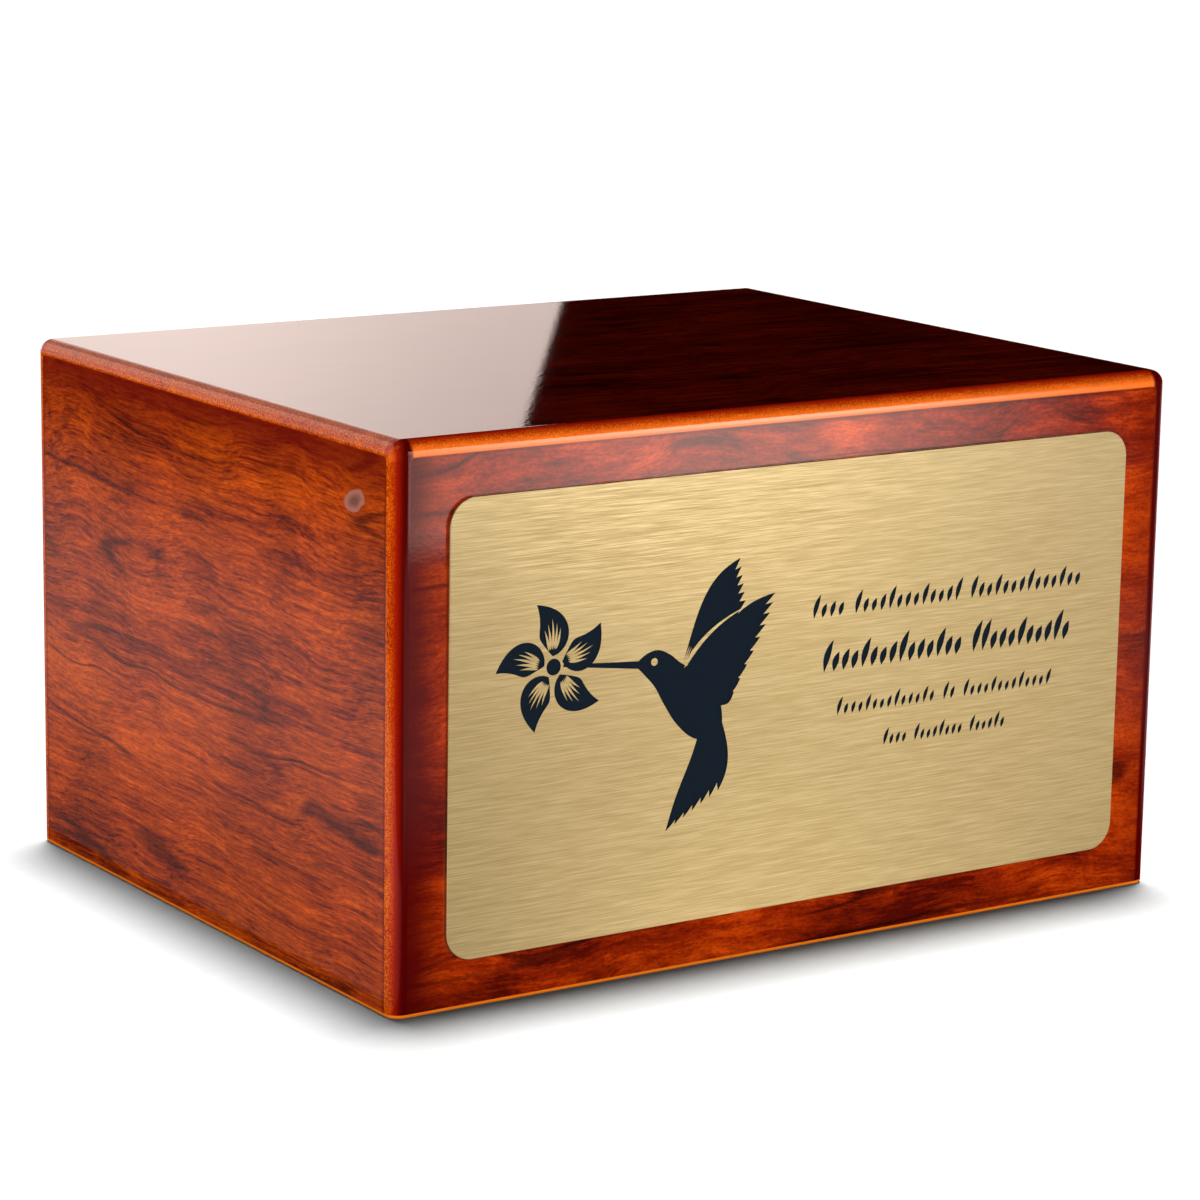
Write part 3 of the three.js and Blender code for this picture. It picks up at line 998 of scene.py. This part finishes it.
LIGHT_TARGET = (0, 0, 0.07)
SOFT_LIGHTS = {
    "left_light": {"place": (-1.5, -0.1, 0.25), "size": 1.0, "energy": 16},
    "front_light": {"place": (0.1, -1.7, 0.55), "size": 1.0, "energy": 20},
    "high_light": {"place": (-0.3, -1.4, 1.3), "size": 0.8, "energy": 6},
}


def link_only(source, name, objects):
    """Lets a light or a glowing card reach only the given objects."""
    group = bpy.data.collections.new(name)
    for member in objects:
        group.objects.link(member)
    source.light_linking.receiver_collection = group


def glowing(name, tint, strength, see_through=False):
    """A material that only shines. Strength may be a function that adds its own nodes."""
    made, graph, shader = material(name)
    made.node_tree.nodes.remove(shader)
    level = strength(graph) if callable(strength) else strength
    surface = graph.add("Emission", {"Color": tint, "Strength": level}).outputs[0]
    if see_through:
        clear = graph.add("BsdfTransparent").outputs[0]
        surface = graph.add("AddShader", {0: surface, 1: clear}).outputs[0]
    graph.feed(made.node_tree.nodes["Material Output"].inputs["Surface"], surface)
    return made


def make_floor():
    form = bmesh.new()
    bmesh.ops.create_grid(form, x_segments=1, y_segments=1, size=FLOOR_REACH)
    floor = new_piece("floor", form)
    made, graph, shader = material("floor_paper")
    paper = graph.round_noise(object_place(graph), 4, 15)
    graph.feed(shader.inputs["Base Color"], graph.ramp(paper, *FLOOR_SHADES))
    shader.inputs["Roughness"].default_value = 1.0
    shader.inputs["Specular IOR Level"].default_value = 0.0
    floor.data.materials.append(made)
    floor.visible_glossy = False
    floor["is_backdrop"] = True
    return floor


def make_backdrop():
    """A white shell far around the floor, which only the camera sees."""
    form = bmesh.new()
    bmesh.ops.create_uvsphere(form, u_segments=48, v_segments=24, radius=BACKDROP_RADIUS)
    shell = new_piece("backdrop", form)
    shell.data.materials.append(glowing("backdrop_white", WHITE, BACKDROP_STRENGTH))
    shell.visible_diffuse = False
    shell.visible_glossy = False
    shell.visible_shadow = False
    shell.visible_transmission = False
    shell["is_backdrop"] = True


def make_world():
    """A faint even light, which no reflection shows."""
    world = bpy.data.worlds.new("studio")
    scene.world = world
    world.use_nodes = True
    background = world.node_tree.nodes["Background"]
    background.inputs["Color"].default_value = WHITE
    background.inputs["Strength"].default_value = WORLD_STRENGTH
    world.cycles_visibility.glossy = False


def add_light(name, data, towards_light, receivers):
    """A light that shines against the given direction, and doesn't show in reflections."""
    light = bpy.data.objects.new(name, data)
    light.rotation_euler = towards_light.to_track_quat("Z", "Y").to_euler()
    light.visible_glossy = False
    scene.collection.objects.link(light)
    link_only(light, name + "_receivers", receivers)
    return light


def make_floor_light(floor):
    """A broad light high above and a little behind, on the floor alone, for a soft shadow."""
    data = bpy.data.lights.new("floor_light", "SUN")
    data.energy = FLOOR_LIGHT["energy"]
    data.angle = math.radians(FLOOR_LIGHT["width"])
    lean_x, lean_y = (math.tan(math.radians(FLOOR_LIGHT[name])) for name in ("lean_x", "lean_y"))
    add_light("floor_light", data, Vector((lean_x, lean_y, 1)), [floor])


def make_soft_light(name, place, size, energy, receivers):
    """A square soft light on the object alone."""
    data = bpy.data.lights.new(name, "AREA")
    data.shape = "SQUARE"
    data.size = size
    data.energy = energy
    light = add_light(name, data, Vector(place) - Vector(LIGHT_TARGET), receivers)
    light.location = place


# Cards. Each span is a strength along X, Y or Z: from and to, in metres, and the levels there.

CARD_LIFT = 0.001
PLATE_CARD_LIFT = 0.002


def reflected_card(name, corners, strength, tint=WHITE):
    """A glowing, see-through board that shows in reflections alone and hides no other."""
    form = bmesh.new()
    form.faces.new([form.verts.new(corner) for corner in corners])
    board = new_piece(name, form)
    board.data.materials.append(glowing(name, tint, strength, see_through=True))
    board.visible_camera = False
    board.visible_diffuse = False
    board.visible_shadow = False
    board.visible_transmission = False
    board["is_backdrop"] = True
    return board


def level_corners(left, right, first_y, last_y, height=CARD_LIFT):
    """The corners of a card that lies just above the floor."""
    return [(left, first_y, height), (right, first_y, height),
            (right, last_y, height), (left, last_y, height)]


def upright_corners(left, right, y, foot, head):
    """The corners of a card that stands before the box, level with its front."""
    return [(left, y, foot), (right, y, foot), (right, y, head), (left, y, head)]


# The card that the top reflects ends in a leaning edge, right of the middle. Its foot and its
# lean are where the edge of the reflection lies in the photograph.
BACK_EDGE = Vector((0.7467, 1.1589, 0.3093))
BACK_EDGE_LEAN = 0.289
BACK_AWAY = Vector((-0.8396, 0.5432, 0))
BACK_REACH = 2.2
BACK_FOOT = 0.02
BACK_HEAD = 2.2
BACK_ALONG = (0.0, 0.26, 1.3, 1.85)
BACK_LOWER = (0.42, 0.6, 1.0, 0.72)
BACK_UPPER = (0.6, 0.85, 1.0, 0.4)
BACK_TINT = (1.0, 0.82, 0.75, 1)


def make_back_card():
    """Stands behind the box, for the broad sheen on its top."""
    def corner(away, height):
        point = BACK_EDGE + BACK_AWAY * (away + BACK_EDGE_LEAN * (height - BACK_EDGE.z))
        return (point.x, point.y, height)

    def level(graph):
        place = object_place(graph)
        offset = graph.vector("SUBTRACT", place, BACK_EDGE[:])
        along = graph.add("VectorMath", {0: offset, 1: BACK_AWAY[:]}, operation="DOT_PRODUCT")
        height = graph.part(place, "Z")
        falling = graph.math("MULTIPLY", graph.span(height, *BACK_LOWER),
                             graph.span(height, *BACK_UPPER))
        return graph.math("MULTIPLY", graph.span(along.outputs["Value"], *BACK_ALONG), falling)

    corners = [corner(BACK_REACH, BACK_FOOT), corner(0, BACK_FOOT),
               corner(0, BACK_HEAD), corner(BACK_REACH, BACK_HEAD)]
    reflected_card("back_card", corners, level, BACK_TINT)


FRONT_FOOT = (0.003, 0.018, 0, 4.3)
FRONT_BRIGHT = (0.05, 0.13, 0, 4.2)
FRONT_END = (0.1, 0.17, 0, 1)
FRONT_LEFT = (0.1, 0.28, 0.35, 1)
FRONT_RIGHT = (0.3, 0.5, 1, 0)
FRONT_TINT = (1.0, 0.88, 0.8, 1)


def make_front_card(front_board):
    """Stands before the box. Its dim foot shows in the upper part of the front, and its bright
    part above in the rounded edge. The plate has cards of its own, and the top needs none here."""
    def level(graph):
        parts = graph.add("SeparateXYZ", {"Vector": object_place(graph)})
        x, z = parts.outputs["X"], parts.outputs["Z"]
        sides = graph.math("MULTIPLY", graph.span(x, *FRONT_LEFT), graph.span(x, *FRONT_RIGHT))
        share = graph.math("MULTIPLY", graph.span(x, *FRONT_END), sides)
        total = graph.math("ADD", graph.span(z, *FRONT_FOOT), graph.span(z, *FRONT_BRIGHT))
        return graph.math("MULTIPLY", share, total)

    corners = upright_corners(left=-0.4, right=0.9, y=-0.52, foot=CARD_LIFT, head=0.3)
    card = reflected_card("front_card", corners, level, FRONT_TINT)
    link_only(card, "front_card_receivers", [front_board])


SHEEN_NEAR = (-0.3, -0.16, 0.24, 0)
SHEEN_ACROSS = (0.3, 0.42, 1, 0.15)


def make_front_floor_card(boards):
    """Lies on the floor before the box, as a faint sheen on the front beside the plate."""
    def level(graph):
        parts = graph.add("SeparateXYZ", {"Vector": object_place(graph)})
        return graph.math("MULTIPLY", graph.span(parts.outputs["Y"], *SHEEN_NEAR),
                          graph.span(parts.outputs["X"], *SHEEN_ACROSS))

    corners = level_corners(left=-0.1, right=0.9, first_y=-0.6, last_y=-0.15)
    card = reflected_card("front_floor_card", corners, level)
    link_only(card, "front_floor_card_receivers", boards)


LEFT_NEAR = (-0.24, -0.12, 0.38, 0.13)
LEFT_FAR = (-0.45, -0.27, 0, 1)


def make_left_card():
    """Lies on the floor beside the box, as a faint sheen in the middle of the left side."""
    def level(graph):
        x = graph.part(object_place(graph), "X")
        return graph.math("MULTIPLY", graph.span(x, *LEFT_NEAR), graph.span(x, *LEFT_FAR))

    corners = level_corners(left=-0.5, right=-0.12, first_y=-0.2, last_y=0.9)
    reflected_card("left_card", corners, level)


RIGHT_RISE = (0.14, 0.3, 0, 0.34)


def make_right_card():
    """Lies on the floor to the right, as a sheen on the right side and its front edge."""
    def level(graph):
        return graph.span(graph.part(object_place(graph), "X"), *RIGHT_RISE)

    corners = level_corners(left=0.14, right=1.2, first_y=-0.14, last_y=0.9)
    reflected_card("right_card", corners, level)


CORNER_FOOT = 0.01
CORNER_HEAD = 1.2
CORNER_STRENGTH = 0.65


def make_corner_card():
    """Stands behind the box to the left, for the lower side of the left edge's rounding."""
    near, far = (-1.3, 0.2), (-0.2, 1.3)
    corners = [(*near, CORNER_FOOT), (*far, CORNER_FOOT), (*far, CORNER_HEAD), (*near, CORNER_HEAD)]
    reflected_card("corner_card", corners, CORNER_STRENGTH)


# The plate's light lies in a fan on the floor. It spreads from a point behind the box, and a
# place in it is measured across the fan, as a share of the distance from that point.
FAN_POINT = (-0.567, 0.666)
FAN_RISE = (0.6, 0.71, 0.55, 1)
FAN_FALL = (0.72, 0.9, 1, 0.66)
PEAK_RISE = (0.6, 0.685, 0, 1)
PEAK_FALL = (0.685, 0.79, 1, 0)
LOW_WIDE = (-0.6, -0.3, 0.4, 0.95)
LOW_PEAK = (-0.65, -0.35, 4, 0)
HIGH_WIDE = 0.35
HIGH_PEAK = 6.2
HIGH_TINT = (1.0, 1.14, 1.75, 1)


def fan_shares(graph):
    """The wide fan, the narrow peak in it, and how far along Y they are."""
    parts = graph.add("SeparateXYZ", {"Vector": object_place(graph)})
    across = graph.math("SUBTRACT", parts.outputs["X"], FAN_POINT[0])
    away = graph.math("SUBTRACT", FAN_POINT[1], parts.outputs["Y"])
    place = graph.math("DIVIDE", across, away)
    wide = graph.math("MULTIPLY", graph.span(place, *FAN_RISE), graph.span(place, *FAN_FALL))
    peak = graph.math("MULTIPLY", graph.span(place, *PEAK_RISE), graph.span(place, *PEAK_FALL))
    return wide, peak, parts.outputs["Y"]


def make_plate_cards(plate):
    """The plate mirrors a fan of light on the floor before it, and a wide card behind that.

    The fan has a narrower peak, which shows in the upper rows."""
    def low_level(graph):
        wide, peak, y = fan_shares(graph)
        return graph.math("ADD", graph.math("MULTIPLY", wide, graph.span(y, *LOW_WIDE)),
                          graph.math("MULTIPLY", peak, graph.span(y, *LOW_PEAK)))

    def high_level(graph):
        wide, peak, _ = fan_shares(graph)
        return graph.math("MULTIPLY_ADD", peak, HIGH_PEAK,
                          graph.math("MULTIPLY", wide, HIGH_WIDE))

    low_corners = level_corners(left=-1.5, right=1.5, first_y=-0.095, last_y=-2.5,
                                height=PLATE_CARD_LIFT)
    high_corners = upright_corners(left=-2.5, right=2.5, y=-1.6, foot=PLATE_CARD_LIFT, head=2.4)
    for card in (reflected_card("plate_low_card", low_corners, low_level),
                 reflected_card("plate_high_card", high_corners, high_level, HIGH_TINT)):
        link_only(card, card.name + "_receivers", [plate])


def make_studio():
    """The boards give the floor no red light, so that its shadow stays grey."""
    scene.view_settings.view_transform = "Standard"
    boards = [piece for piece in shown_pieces() if piece.name.endswith("_board")]
    for board in boards:
        board.visible_diffuse = False
    make_world()
    make_backdrop()
    make_floor_light(make_floor())
    make_back_card()
    make_front_card(bpy.data.objects["front_wall_board"])
    make_front_floor_card(boards)
    make_left_card()
    make_right_card()
    make_corner_card()
    make_plate_cards(bpy.data.objects["nameplate_engraved"])
    pieces = list(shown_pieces())
    for name, settings in SOFT_LIGHTS.items():
        make_soft_light(name, receivers=pieces, **settings)


make_camera()
make_boards()
make_nameplate()
dress_underside()
make_studio()
